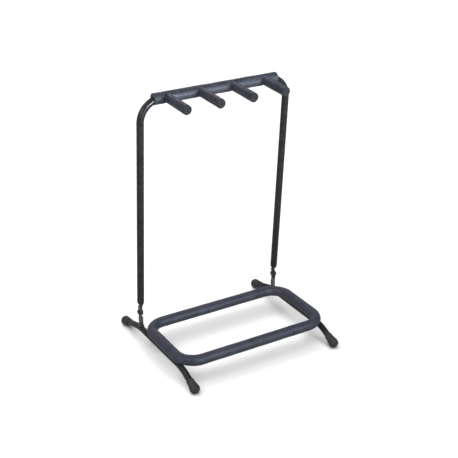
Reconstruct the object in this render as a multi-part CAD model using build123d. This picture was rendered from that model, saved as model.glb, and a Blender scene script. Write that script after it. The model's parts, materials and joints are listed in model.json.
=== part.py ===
from build123d import *
import math
import os

# Folding guitar rack for three instruments. Millimetres, +Z up, front at -Y, floor at Z = 0.
# The origin is on the floor, under the centre of the rack's box.

# Steel tube stock
FRAME_TUBE_R = 9.0  # 18 mm round tube: neck frame
TUBE_R = 8.0  # 16 mm round tube: foot tubes and base loop
TUBE_WALL = 1.2
THIN_TUBE_R = 6.0  # 12 mm round tube: hinge posts and pegs
THIN_WALL = 1.2

# Hinge axis, which runs along X through both hinge bolts
HINGE_Y = 97.2
HINGE_Z = 84.3
JOINT_X = 203.0  # half the spacing of the uprights, and the plane where the two tabs meet
LEAN = 4.3  # the neck frame leans forward by this many degrees

# Neck frame, in its own upright position with the hinge axis at the origin
BAR_H = 577.8  # hinge axis to the centre line of the top bar
BEND_R = 54.5
SWAGE_TOP_H = 30.0  # the round tube ends here and narrows to the lug
SWAGE_END_H = 19.0
SWAGE_SHIFT = 0.8  # the narrowed end sits this much inboard
SWAGE_MOUTH_X = 6.4
SWAGE_MOUTH_Y = 10.4
SWAGE_MOUTH_R = 2.6  # corner radius of the narrowed end

# Hinge lug on each upright
LUG_T = 2.5
LUG_R = 10.0
LUG_NECK_W = 9.0
LUG_SHANK_H = 27.0  # top of the shank inside the swaged end

# Foam on the neck bar and the pegs
BAR_FOAM_R = 14.1
BAR_FOAM_L = 340.0
PEG_PITCH = 89.3
PEG_COUNT = 4
PEG_REACH = 101.7  # centre of the bar to the tip of the foam
PEG_TILT = 2.1  # degrees above square to the frame
PEG_FOAM_R = 11.8
PEG_ROD_REACH = 95.0
PEG_PLUG_FLANGE = 1.6
PEG_PLUG_DEPTH = 10.0
SOFT_GAP = 0.15  # between foam and what it sleeves
EDGE_ROUND = 2.0

# Base: foot tubes, Y from the hinge axis
FOOT_X = 204.0
FOOT_Z = 36.8
REAR_CAP_Y = 91.2
REAR_BEND_Y = 5.6
FRONT_BEND_Y = -223.7
FRONT_CAP_Y = -285.0
REAR_BEND_R = 150.0
FRONT_BEND_R = 110.0

# Rubber foot caps
CAP_R = 12.9
CAP_SINK = 0.4  # the dome is cut this deep by the floor, which leaves a small flat
CAP_L = 26.0
CAP_LIP_R = 9.4
CAP_BLUNT = 9.0  # dome centre to the blunt end
CAP_FLARE = 12.0  # degrees of dome before it narrows towards the lip

# Base loop, Y from the hinge axis
LOOP_X = 203.0
LOOP_REAR_Y = -28.0
LOOP_FRONT_Y = -237.5
LOOP_Z = 54.0
LOOP_CORNER_R = 48.5
LOOP_FOAM_R = 13.6
WELD_L = 26.0
WELD_W = 8.0
WELD_INSET = 62.0  # from the loop's rear and front rails to the middle of a weld

# Hinge hardware: M6 bolt, nut, washers
WASHER_T = 0.8
BOLT_R = 3.0
BOLT_RUN = 0.05  # radial clearance of the bolt in the lug
BOLT_HEAD_R = 5.5
BOLT_HEAD_T = 3.0
NUT_FLATS = 10.0
NUT_T = 4.5
BOLT_END = 1.2  # thread past the nut
WASHER_R = 6.5

# Hinge post tab
TAB_T = 2.5
TAB_R = 8.5
TAB_EDGE_R = 0.8
POST_ROUND_TOP = -17.5  # height from the hinge axis where the round tube ends
POST_FLAT_TOP = -10.6  # height where it is fully flat
STOP_BASE_H = 10.6
STOP_TOP_H = 14.4
STOP_REAR_Y = 9.5
STOP_GAP = 0.3
EAR_CORNER_R = 6.0  # front top corner of the ear that carries the stop
POST_WELD_W = 4.5
POST_WELD_H = 4.0
POST_WELD_SINK = 1.4

SIDES = {"left": -1, "right": 1}
BASE_POSE = Pos(0, HINGE_Y, 0)
HINGE_UP = Pos(0, 0, HINGE_Z)
NECK_POSE = BASE_POSE * HINGE_UP * Rot(X=LEAN)


def rod(start, end, radius):
    """A round bar between two points."""
    line = Line(start, end)
    return Solid.make_cylinder(radius, line.length, Plane(origin=start, z_dir=line % 0))


def x_disc(x_from, x_to, radius, y=0.0, z=0.0):
    """A disc with its axis along X, between two X positions in either order."""
    low, high = sorted((x_from, x_to))
    return Pos(low, y, z) * Solid.make_cylinder(radius, high - low, Plane.YZ)


def x_block(x_pair, y_pair, z_pair):
    """A block between pairs of X, Y and Z positions, each pair in either order."""
    lows = [min(pair) for pair in (x_pair, y_pair, z_pair)]
    sizes = [abs(pair[1] - pair[0]) for pair in (x_pair, y_pair, z_pair)]
    return Pos(*lows) * Box(*sizes, align=(Align.MIN, Align.MIN, Align.MIN))


def swept(path, radius):
    """A solid round bar along a path."""
    return sweep(Plane(origin=path @ 0, z_dir=path % 0) * Circle(radius), path=path)


def tube(path, radius, wall):
    return swept(path, radius) - swept(path, radius - wall)


# ---------------------------------------------------------------- neck frame


def neck_path(lower):
    """Centre line of the inverted U from one upright's lower end to the other's."""
    return FilletPolyline(
        (-JOINT_X, 0, lower), (-JOINT_X, 0, BAR_H), (JOINT_X, 0, BAR_H), (JOINT_X, 0, lower),
        radius=BEND_R,
    )


def swaged_end(side):
    """The pressed end of an upright: round above, a small flat mouth below."""
    mouth_base = Plane((side * (JOINT_X - SWAGE_SHIFT), 0, SWAGE_END_H))
    mouth = mouth_base * RectangleRounded(SWAGE_MOUTH_X, SWAGE_MOUTH_Y, SWAGE_MOUTH_R)
    top = Plane((side * JOINT_X, 0, SWAGE_TOP_H)) * Circle(FRAME_TUBE_R)
    return loft([mouth, top])


def lug_span(side):
    """X of a lug's two faces, the inboard one first."""
    outer = JOINT_X - WASHER_T / 2
    return side * (outer - LUG_T), side * outer


def bolt_cutter(side, radius):
    """A bar along the hinge axis that drills through both tabs of one hinge."""
    return x_disc(side * (JOINT_X - 2 * FRAME_TUBE_R), side * (JOINT_X + 2 * FRAME_TUBE_R), radius)


def make_lug(side):
    """Pressed eye: a disc round the bolt, a neck, and a shank inside the swaged end."""
    faces = lug_span(side)
    half = LUG_NECK_W / 2
    lug = x_disc(*faces, LUG_R) + x_block(faces, (-half, half), (0, LUG_SHANK_H))
    return lug - bolt_cutter(side, BOLT_R + BOLT_RUN)


def peg_x(index):
    return (index - (PEG_COUNT - 1) / 2) * PEG_PITCH


def peg_point(index, reach):
    """A point on a peg's axis, this far from the bar's centre line."""
    tilt = math.radians(PEG_TILT)
    return (peg_x(index), -reach * math.cos(tilt), BAR_H + reach * math.sin(tilt))


def make_peg_rod(index):
    outer = rod(peg_point(index, 0), peg_point(index, PEG_ROD_REACH), THIN_TUBE_R)
    inner = rod(peg_point(index, 0), peg_point(index, PEG_ROD_REACH), THIN_TUBE_R - THIN_WALL)
    return outer - inner - bar_core(FRAME_TUBE_R)


def make_peg_plug(index):
    """Push-in plug that closes a peg's open end."""
    flange_end = PEG_ROD_REACH + PEG_PLUG_FLANGE
    shank_start = PEG_ROD_REACH - PEG_PLUG_DEPTH
    flange = rod(peg_point(index, PEG_ROD_REACH), peg_point(index, flange_end), THIN_TUBE_R)
    shank = rod(peg_point(index, shank_start), peg_point(index, PEG_ROD_REACH), THIN_TUBE_R - THIN_WALL)
    return flange + shank


def make_peg_foam(index):
    """Foam sleeve with a closed tip, notched to fit against the bar's foam."""
    outer = rod(peg_point(index, 0), peg_point(index, PEG_REACH), PEG_FOAM_R)
    outer = fillet(outer.edges().sort_by(Axis.Y)[0], EDGE_ROUND)
    pocket_end = PEG_ROD_REACH + PEG_PLUG_FLANGE + SOFT_GAP
    pocket = rod(peg_point(index, 0), peg_point(index, pocket_end), THIN_TUBE_R + SOFT_GAP)
    return outer - pocket - bar_core(BAR_FOAM_R + SOFT_GAP)


def bar_core(radius):
    return rod((-JOINT_X, 0, BAR_H), (JOINT_X, 0, BAR_H), radius)


def make_bar_foam():
    """Foam sleeve on the top bar, bored for the tube and for each peg."""
    half = BAR_FOAM_L / 2
    sleeve = rod((-half, 0, BAR_H), (half, 0, BAR_H), BAR_FOAM_R)
    sleeve = fillet(sleeve.edges().filter_by(GeomType.CIRCLE), EDGE_ROUND / 2)
    sleeve -= swept(neck_path(BAR_H - 2 * BEND_R), FRAME_TUBE_R + SOFT_GAP)
    for index in range(PEG_COUNT):
        bore = rod(peg_point(index, 0), peg_point(index, 2 * BAR_FOAM_R), THIN_TUBE_R + SOFT_GAP)
        sleeve -= bore
    return sleeve


def neck_frame_parts():
    """Every node that turns with the neck frame, before the lean is applied."""
    frame = tube(neck_path(SWAGE_TOP_H), FRAME_TUBE_R, TUBE_WALL)
    nodes = {}
    for name, side in SIDES.items():
        lug = make_lug(side)
        frame += swaged_end(side) - lug
        nodes[f"hinge_lug_{name}"] = lug
    nodes["neck_frame_tube"] = frame
    nodes["neck_bar_foam"] = make_bar_foam()
    for index in range(PEG_COUNT):
        number = index + 1
        nodes[f"peg_rod_{number}"] = make_peg_rod(index)
        nodes[f"peg_end_plug_{number}"] = make_peg_plug(index)
        nodes[f"peg_foam_{number}"] = make_peg_foam(index)
    return nodes


# ---------------------------------------------------------------- base, with Y from the hinge axis


def cap_z():
    """Height of a foot cap's dome centre."""
    return CAP_R - CAP_SINK


def foot_path(side):
    """Centre line of a foot tube, from the rear cap's dome centre to the front one's."""
    x = side * FOOT_X
    return FilletPolyline(
        (x, REAR_CAP_Y, cap_z()), (x, REAR_BEND_Y, FOOT_Z),
        (x, FRONT_BEND_Y, FOOT_Z), (x, FRONT_CAP_Y, cap_z()),
        radius=[REAR_BEND_R, FRONT_BEND_R],
    )


def cap_body():
    """A foot cap before it is fitted, its axis along +Y and its dome centre at the origin."""
    blunt_r = math.sqrt(CAP_R**2 - CAP_BLUNT**2)
    flare = math.radians(CAP_FLARE)
    neck = (CAP_R * math.cos(flare), CAP_R * math.sin(flare))
    outline = Line((0, -CAP_BLUNT), (blunt_r, -CAP_BLUNT))
    outline += ThreePointArc((blunt_r, -CAP_BLUNT), (CAP_R, 0), neck)
    leaving = (-math.sin(flare), math.cos(flare))
    outline += Spline(neck, (CAP_LIP_R, CAP_L), tangents=[leaving, (-0.06, 1)])
    outline += Polyline((CAP_LIP_R, CAP_L), (0, CAP_L), (0, -CAP_BLUNT))
    body = revolve(make_face(outline), Axis.Y)
    blunt_edge = body.edges().filter_by(GeomType.CIRCLE).sort_by(Axis.Y)[0]
    return fillet(blunt_edge, EDGE_ROUND)


def make_cap(side, end):
    """Rubber foot cap: a blunt dome that narrows to a thin lip round the foot tube."""
    path = foot_path(side)
    centre, inward = (path @ 0, path % 0) if end == "rear" else (path @ 1, path % 1 * -1)
    seat = Plane(origin=centre, x_dir=(1, 0, 0), z_dir=Vector(1, 0, 0).cross(inward))
    bore = rod(centre, centre + inward * (CAP_L + 1), TUBE_R)
    floor = Pos(centre.X, centre.Y, -CAP_R) * Box(4 * CAP_L, 4 * CAP_L, 2 * CAP_R)
    return seat.location * cap_body() - bore - floor


def loop_path():
    """Centre line of the base loop: a rounded rectangle, closed at the middle of its rear rail."""
    middle_y = (LOOP_REAR_Y + LOOP_FRONT_Y) / 2
    depth = LOOP_REAR_Y - LOOP_FRONT_Y
    outline = Pos(0, middle_y, LOOP_Z) * RectangleRounded(2 * LOOP_X, depth, LOOP_CORNER_R)
    return outline.face().outer_wire()


def loop_solid(radius):
    path = loop_path()
    return sweep(Plane(origin=path @ 0, z_dir=path % 0) * Circle(radius), path=path)


def weld_rows():
    """Y of the welds that join the loop to each foot tube."""
    return LOOP_REAR_Y - WELD_INSET, LOOP_FRONT_Y + WELD_INSET


def make_welds(bars):
    """Four welds that fill the crease between the loop tube and the foot tubes."""
    welds = []
    for side in SIDES.values():
        for y in weld_rows():
            bead = Pos(side * (LOOP_X + FOOT_X) / 2, y, (LOOP_Z + FOOT_Z) / 2)
            welds.append(bead * Box(WELD_W, WELD_L, WELD_W) - bars)
    return Compound(children=[weld.solid() for weld in welds])


def make_loop_foam():
    """Foam round the whole loop, slit underneath where it straddles the foot tubes."""
    foam = loop_solid(LOOP_FOAM_R) - loop_solid(TUBE_R + SOFT_GAP)
    rear, front = weld_rows()
    for side in SIDES.values():
        foam -= swept(foot_path(side), TUBE_R + SOFT_GAP)
        x = side * (LOOP_X + FOOT_X) / 2
        half = WELD_W / 2 + 2 * SOFT_GAP
        foam -= x_block((x - half, x + half), (rear + WELD_L, front - WELD_L), (FOOT_Z, LOOP_Z))
    return foam


def tab_span(side):
    """X of a post tab's two faces, the inboard one first."""
    inner = JOINT_X + WASHER_T / 2
    return side * inner, side * (inner + TAB_T)


def stop_front_y():
    """Front face of the stop, just behind the leaning neck of the lug."""
    lean = math.radians(LEAN)
    return LUG_NECK_W / 2 / math.cos(lean) - STOP_BASE_H * math.tan(lean) + STOP_GAP


def make_post(side, foot_bar):
    """Hinge post: a short tube on the foot, pressed flat at the top, with a stop for the lug."""
    x = side * JOINT_X
    bottom = FOOT_Z - HINGE_Z
    shaft = rod((x, 0, bottom), (x, 0, POST_ROUND_TOP), THIN_TUBE_R)
    bore = rod((x, 0, bottom), (x, 0, POST_ROUND_TOP - 2), THIN_TUBE_R - THIN_WALL)
    weld_base = Plane((x, 0, bottom + TUBE_R - POST_WELD_SINK))
    weld = Solid.make_cone(THIN_TUBE_R + POST_WELD_W, THIN_TUBE_R, POST_WELD_H, weld_base)
    faces = tab_span(side)
    press = loft([
        Plane((x, 0, POST_ROUND_TOP)) * Circle(THIN_TUBE_R),
        Plane((sum(faces) / 2, 0, POST_FLAT_TOP)) * RectangleRounded(TAB_T, 2 * TAB_R, TAB_EDGE_R),
    ])
    tab = x_block(faces, (-TAB_R, TAB_R), (POST_FLAT_TOP, 0))
    ear = x_block(faces, (-TAB_R, STOP_REAR_Y), (0, STOP_TOP_H))
    ear = fillet(ear.edges().filter_by(Axis.X).group_by(Axis.Y)[0].sort_by(Axis.Z)[-1], EAR_CORNER_R)
    lip_x = (lug_span(side)[0], faces[0])
    lip = x_block(lip_x, (stop_front_y(), STOP_REAR_Y), (STOP_BASE_H, STOP_TOP_H))
    post = shaft + weld + press + tab + ear + lip - bore - bolt_cutter(side, BOLT_R)
    return HINGE_UP * post - foot_bar


def hinge_hardware(side):
    """Bolt from inboard, thin spacer between the tabs, washer and nut outboard."""
    inner = JOINT_X - WASHER_T / 2 - LUG_T
    tab_outer = JOINT_X + WASHER_T / 2 + TAB_T
    nut_inner = tab_outer + WASHER_T
    nut_outer = nut_inner + NUT_T
    head = x_disc(side * (inner - BOLT_HEAD_T), side * inner, BOLT_HEAD_R)
    rim = head.edges().filter_by(GeomType.CIRCLE).sort_by(lambda edge: side * edge.center().X)[0]
    hexagon = RegularPolygon(NUT_FLATS / 2, 6, major_radius=False)
    nut = extrude(Plane.YZ.offset(min(side * nut_inner, side * nut_outer)) * hexagon, NUT_T)
    shank = x_disc(side * inner, side * (nut_outer + BOLT_END), BOLT_R)
    spacer = x_disc(side * (JOINT_X - WASHER_T / 2), side * (JOINT_X + WASHER_T / 2), WASHER_R)
    washer = x_disc(side * tab_outer, side * nut_inner, WASHER_R)
    pieces = {
        "hinge_bolt": shank + fillet(rim, EDGE_ROUND), "hinge_nut": nut - shank,
        "hinge_spacer": spacer - shank, "nut_washer": washer - shank,
    }
    return {name: HINGE_UP * piece for name, piece in pieces.items()}


def base_parts():
    """Every node that stays with the base."""
    nodes = {}
    bars = []
    for name, side in SIDES.items():
        bar = swept(foot_path(side), TUBE_R)
        bars.append(bar)
        nodes[f"foot_tube_{name}"] = bar - swept(foot_path(side), TUBE_R - TUBE_WALL)
        nodes[f"hinge_post_{name}"] = make_post(side, bar)
        for end in ("front", "rear"):
            nodes[f"foot_cap_{end}_{name}"] = make_cap(side, end)
        for piece, solid in hinge_hardware(side).items():
            nodes[f"{piece}_{name}"] = solid
    loop_bar = loop_solid(TUBE_R)
    nodes["base_loop_tube"] = loop_bar - loop_solid(TUBE_R - TUBE_WALL)
    nodes["loop_welds"] = make_welds([*bars, loop_bar])
    nodes["base_loop_foam"] = make_loop_foam()
    return nodes


def main():
    os.makedirs("parts", exist_ok=True)
    nodes = {name: BASE_POSE * solid for name, solid in base_parts().items()}
    nodes |= {name: NECK_POSE * solid for name, solid in neck_frame_parts().items()}
    for name, solid in nodes.items():
        solid.label = name
        export_step(solid, f"parts/{name}.step")
    box = Compound(children=list(nodes.values())).bounding_box()
    print(len(nodes), "nodes; box from", box.min, "to", box.max)


main()
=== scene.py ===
import json
import math

import bpy
import numpy as np
from mathutils import Matrix, Vector

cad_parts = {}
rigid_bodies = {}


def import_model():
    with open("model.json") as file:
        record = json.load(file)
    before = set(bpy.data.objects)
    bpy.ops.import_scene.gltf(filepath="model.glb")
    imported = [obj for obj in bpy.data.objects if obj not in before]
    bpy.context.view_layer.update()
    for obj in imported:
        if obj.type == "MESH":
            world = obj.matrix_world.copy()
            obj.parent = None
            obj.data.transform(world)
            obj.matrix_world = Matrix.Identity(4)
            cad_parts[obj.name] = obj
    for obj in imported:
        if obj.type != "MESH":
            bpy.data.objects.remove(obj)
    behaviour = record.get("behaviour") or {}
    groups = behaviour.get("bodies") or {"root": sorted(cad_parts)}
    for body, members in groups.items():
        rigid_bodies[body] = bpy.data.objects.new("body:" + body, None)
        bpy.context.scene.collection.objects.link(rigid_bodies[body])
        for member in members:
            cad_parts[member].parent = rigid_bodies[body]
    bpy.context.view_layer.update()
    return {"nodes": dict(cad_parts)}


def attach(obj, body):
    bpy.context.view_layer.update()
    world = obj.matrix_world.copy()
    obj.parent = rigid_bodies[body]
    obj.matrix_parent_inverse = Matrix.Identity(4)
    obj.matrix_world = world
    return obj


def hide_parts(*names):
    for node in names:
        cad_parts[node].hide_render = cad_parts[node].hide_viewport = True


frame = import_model()

# Sizes are in millimetres, and make_piece() turns them into metres. Heights H are from the hinge
# axis. They follow the CAD part's, but for small changes that make the swages and the pressed posts
# softer, and the lugs' shanks, which end inside the swages.
MM = 0.001
FRAME_TUBE_R, TUBE_R = 9.0, 8.0
THIN_R = 6.0  # hinge posts and peg rods
SOFT_GAP = 0.15  # between foam and the tube inside it
HINGE_Y, HINGE_Z, JOINT_X, LEAN = 97.2, 84.3, 203.0, 4.3
SIDES = {"left": -1, "right": 1}

# Neck frame
BAR_H, BEND_R = 577.8, 54.5
SWAGE_END_H, SWAGE_TOP_H, SWAGE_SHIFT = 19.0, 32.0, 0.8
SWAGE_HALF_X, SWAGE_HALF_Y = 3.2, 5.2
SWAGE_ROLL = 1.2  # rounding of the swaged mouth
LUG_T, LUG_R, LUG_NECK_W, LUG_SHANK_H = 2.5, 10.0, 9.0, 26.0
LUG_FILLET, LUG_HOLE_R, LUG_BEVEL = 4.0, 3.05, 0.55
BAR_FOAM_R, BAR_FOAM_L = 14.1, 340.0
BAR_RIM_ROUND = 1.1
PEG_COUNT, PEG_PITCH, PEG_REACH, PEG_TILT = 4, 89.3, 101.7, 2.1
PEG_FOAM_R, PEG_TIP_ROUND, PEG_BORE_START, PEG_BORE_END = 11.8, 1.9, 18.0, 96.75
PEG_SIDE_ROWS = 67  # rings along a peg sleeve's side
PEG_SEAT_R = BAR_FOAM_R - 0.55  # peg sleeves start here, just inside the bar's foam

# Base
FOOT_X, FOOT_Z = 204.0, 36.8
REAR_CAP_Y, REAR_BEND_Y, FRONT_BEND_Y, FRONT_CAP_Y = 188.4, 102.8, -126.5, -187.8
REAR_BEND_R, FRONT_BEND_R = 150.0, 110.0
LOOP_X, LOOP_REAR_Y, LOOP_FRONT_Y, LOOP_Z = 203.0, 69.2, -140.3, 54.0
LOOP_CORNER_R, LOOP_FOAM_R = 48.5, 13.6
SLIT_DEPTH, SLIT_HALF = 0.75, 0.045  # groove under the loop's foam: millimetres, radians
CAP_R, CAP_Z, CAP_L, CAP_LIP_R, CAP_BLUNT = 12.9, 12.5, 26.0, 9.4, 9.0
CAP_FLARE = math.radians(12.0)  # how far the dome goes past its widest ring before the neck
CAP_RIDGE = 0.16  # height of the mould's parting line

# Hinge post, its stop, and the fasteners
POST_FOOT_H, PRESS_START_H, PRESS_END_H = -44.0, -17.5, -9.8
SPACER_T = 0.8
TAB_R, TAB_T, EAR_TOP, EAR_CORNER_R, EAR_REAR_ROUND = 8.5, 2.5, 14.4, 6.0, 2.0
TAB_SHIFT = SPACER_T / 2 + TAB_T / 2  # from the joint's plane to the middle of the tab
STOP_Y, STOP_H = (4.1, 9.4), (10.7, 14.3)  # the stop's faces, from the hinge axis
WELD_BEAD_R = 1.75
BOLT_HEAD_X, BOLT_SEAT_X, BOLT_THREAD_X, BOLT_END_X = 197.1, 200.1, 210.9, 212.4
BOLT_SHANK_R, BOLT_HEAD_R, BOLT_SOCKET_W, BOLT_PITCH = 2.98, 5.5, 3.9, 1.0
NUT_NEAR_X, NUT_FAR_X, NUT_FLATS = 206.7, 211.2, 10.0


# ------------------------------------------------------------------ mesh helpers


def unit(v):
    """The vector at length 1."""
    return np.asarray(v, float) / np.linalg.norm(v)


def wobble(points, size, seed):
    """A smooth random field of about -1 to 1 over points, with features of this size."""
    waves, spread = 26, 1.6
    rng = np.random.default_rng(seed)
    aim = rng.normal(size=(waves, 3))
    aim /= np.linalg.norm(aim, axis=1)[:, None]
    pull = rng.uniform(0.6, 1.4, waves) * 2 * math.pi / size
    phase = rng.uniform(0, 2 * math.pi, waves)
    field = np.zeros(points.shape[:-1])
    for a, k, p in zip(aim, pull, phase):
        field += np.sin(points @ a * k + p)
    return field / math.sqrt(waves / 2) / spread


def lumps(points, *layers):
    """Uneven thickness over points, in mm, from layers of (depth, size, seed)."""
    return sum(depth * wobble(points, size, seed) for depth, size, seed in layers)


def route_pieces(points, radii):
    """Straight runs and arcs of a polyline whose inner corners are rounded."""
    points = [np.array(p, float) for p in points]
    pieces, here = [], points[0]
    for before, corner, after, radius in zip(points, points[1:], points[2:], radii):
        into, out = unit(corner - before), unit(after - corner)
        turn = math.acos(into @ out)
        reach = radius * math.tan(turn / 2)
        side = unit(out - into * (into @ out))
        start = corner - into * reach
        pieces.append(("run", here, into, np.linalg.norm(start - here)))
        pieces.append(("arc", start + side * radius, side, into, radius, radius * turn))
        here = corner + out * reach
    pieces.append(("run", here, unit(points[-1] - here), np.linalg.norm(points[-1] - here)))
    return pieces


def route_length(pieces):
    """Length of a route from route_pieces()."""
    return sum(piece[-1] for piece in pieces)


def along(pieces, stations):
    """Points and tangents of a route at these distances from its start."""
    stations = np.asarray(stations, float)
    points, tangents = np.zeros((len(stations), 3)), np.zeros((len(stations), 3))
    begin = 0.0
    for number, piece in enumerate(pieces):
        end = begin + piece[-1]
        last = number == len(pieces) - 1
        inside = (stations >= begin) & ((stations < end) | last)
        s = (stations[inside] - begin)[:, None]
        if piece[0] == "run":
            points[inside] = piece[1] + piece[2] * s
            tangents[inside] = piece[2]
        else:
            _, centre, side, into, radius, _ = piece
            angle = s / radius
            points[inside] = centre + radius * (np.sin(angle) * into - np.cos(angle) * side)
            tangents[inside] = np.cos(angle) * into + np.sin(angle) * side
        begin = end
    return points, tangents


def stations_of(pieces, run_step, arc_step):
    """Distances along a route: close together on arcs, further apart on straight runs."""
    out, begin = [0.0], 0.0
    for piece in pieces:
        step = run_step if piece[0] == "run" else arc_step
        count = max(1, round(piece[-1] / step))
        out += list(begin + piece[-1] * np.arange(1, count + 1) / count)
        begin += piece[-1]
    return np.array(out)


def circle_angles(count):
    """Even angles round a ring, in radians."""
    return np.arange(count) * 2 * math.pi / count


def ring_grid(centres, tangents, flat, radius, angles):
    """Rings square to a flat route: flat is its plane's normal, radius a number or an (n, m) array."""
    side = np.cross(tangents, flat)
    ring = np.cos(angles)[None, :, None] * np.asarray(flat, float)[None, None, :]
    ring = ring + np.sin(angles)[None, :, None] * side[:, None, :]
    radius = np.broadcast_to(radius, ring.shape[:2])
    return centres[:, None, :] + ring * radius[:, :, None]


def ring_quads(rows, columns, wrap):
    """Faces between neighbouring rings, and between the last and the first if they wrap."""
    i = np.arange(rows if wrap else rows - 1)[:, None]
    j = np.arange(columns)[None, :]
    nxt = (i + 1) % rows
    turn = (j + 1) % columns
    quads = [i * columns + j, i * columns + turn, nxt * columns + turn, nxt * columns + j]
    return np.stack(quads, -1).reshape(-1, 4)


def signed_volume(verts, faces):
    """Volume inside the faces, negative where they point inwards."""
    total = 0.0
    for face in faces:
        for k in range(1, face.shape[1] - 1):
            a, b, c = verts[face[:, 0]], verts[face[:, k]], verts[face[:, k + 1]]
            total += np.einsum("ij,ij->", a, np.cross(b, c))
    return total / 6


def shell(rings, wrap=False, hollow=False):
    """(verts, face arrays) of a closed shell of rings, with fans on open ends.

    The faces point outwards, or inwards if it is the wall of a hollow.
    """
    rows, columns = rings.shape[:2]
    verts = rings.reshape(-1, 3)
    faces = [ring_quads(rows, columns, wrap)]
    if not wrap:
        ends = []
        for row, order in ((0, -1), (rows - 1, 1)):
            pole = len(verts)
            verts = np.vstack([verts, rings[row].mean(axis=0)])
            edge = row * columns + np.arange(columns)
            fan = np.stack([edge, np.roll(edge, -1), np.full(columns, pole)], -1)
            ends.append(fan[:, ::-1] if order < 0 else fan)
        faces.append(np.vstack(ends))
    if (signed_volume(verts, faces) < 0) != hollow:
        faces = [face[:, ::-1] for face in faces]
    return verts, faces


def join_shells(*shells):
    """Several shells as one mesh."""
    verts, faces, start = [], [], 0
    for points, parts in shells:
        verts.append(points)
        faces += [face + start for face in parts]
        start += len(points)
    return np.vstack(verts), faces


def neck_to_world():
    """The neck frame's own upright position, hinge at the origin, to the leaning frame."""
    place = Matrix.Translation((0, HINGE_Y, HINGE_Z))
    return place @ Matrix.Rotation(math.radians(LEAN), 4, "X")


def make_piece(name, body, material, mesh, nodes, marks=None, sharp=None, neck=False):
    """One Blender object from (verts in mm, faces), riding on its body and replacing CAD nodes."""
    verts, faces = mesh
    if neck:
        turn = np.array(neck_to_world())
        verts = verts @ turn[:3, :3].T + turn[:3, 3]
    data = bpy.data.meshes.new(name)
    data.from_pydata((verts * MM).tolist(), [], [f for part in faces for f in part.tolist()])
    data.validate()
    for mark, values in (marks or {}).items():
        kind = "FLOAT_VECTOR" if np.ndim(values) == 2 else "FLOAT"
        layer = data.attributes.new(mark, kind, "POINT")
        key = "vector" if kind == "FLOAT_VECTOR" else "value"
        layer.data.foreach_set(key, np.asarray(values, np.float32).ravel())
    data.shade_smooth()
    if sharp is not None:
        data.set_sharp_from_angle(angle=math.radians(sharp))
    data.materials.append(material)
    piece = bpy.data.objects.new(name, data)
    bpy.context.scene.collection.objects.link(piece)
    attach(piece, body)
    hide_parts(*nodes)
    return piece


# ------------------------------------------------------------------ materials


class Net:
    """A material's node tree, with short calls for its nodes."""

    def __init__(self, name):
        self.material = bpy.data.materials.new(name)
        self.material.use_nodes = True
        self.tree = self.material.node_tree
        self.shader = self.tree.nodes["Principled BSDF"]

    def add(self, kind, inputs=None, **settings):
        node = self.tree.nodes.new(kind)
        for key, value in settings.items():
            setattr(node, key, value)
        self.feed(node, inputs or {})
        return node

    def feed(self, node, inputs):
        for key, value in inputs.items():
            socket = node.inputs[key]
            if isinstance(value, bpy.types.NodeSocket):
                self.tree.links.new(value, socket)
            else:
                socket.default_value = value

    def place(self):
        return self.add("ShaderNodeTexCoord").outputs["Object"]

    def mark(self, name):
        return self.add("ShaderNodeAttribute", attribute_name=name)

    def stretched(self, vector, scale):
        return self.add("ShaderNodeMapping", {"Vector": vector, "Scale": scale}).outputs[0]

    def noise(self, vector, scale, detail=2.0, roughness=0.5):
        inputs = {"Vector": vector, "Scale": scale, "Detail": detail, "Roughness": roughness}
        return self.add("ShaderNodeTexNoise", inputs).outputs["Fac"]

    def cells(self, vector, scale):
        return self.add("ShaderNodeTexVoronoi", {"Vector": vector, "Scale": scale}).outputs["Distance"]

    def math(self, operation, a, b=0.0, c=0.0):
        return self.add("ShaderNodeMath", {0: a, 1: b, 2: c}, operation=operation).outputs[0]

    def span(self, value, low, high, to_low, to_high):
        """The value's share of the way from low to high, laid from to_low to to_high."""
        inputs = {"Value": value, "From Min": low, "From Max": high, "To Min": to_low, "To Max": to_high}
        return self.add("ShaderNodeMapRange", inputs, clamp=True).outputs[0]

    def mix(self, factor, a, b):
        node = self.add("ShaderNodeMix", data_type="RGBA")
        self.feed(node, {0: factor, 6: a, 7: b})
        return node.outputs[2]

    def bump(self, height, strength, distance, normal=None):
        inputs = {"Height": height, "Strength": strength, "Distance": distance}
        if normal is not None:
            inputs["Normal"] = normal
        return self.add("ShaderNodeBump", inputs).outputs[0]


def rgb(r, g, b):
    """A linear colour."""
    return (r, g, b, 1.0)


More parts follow.
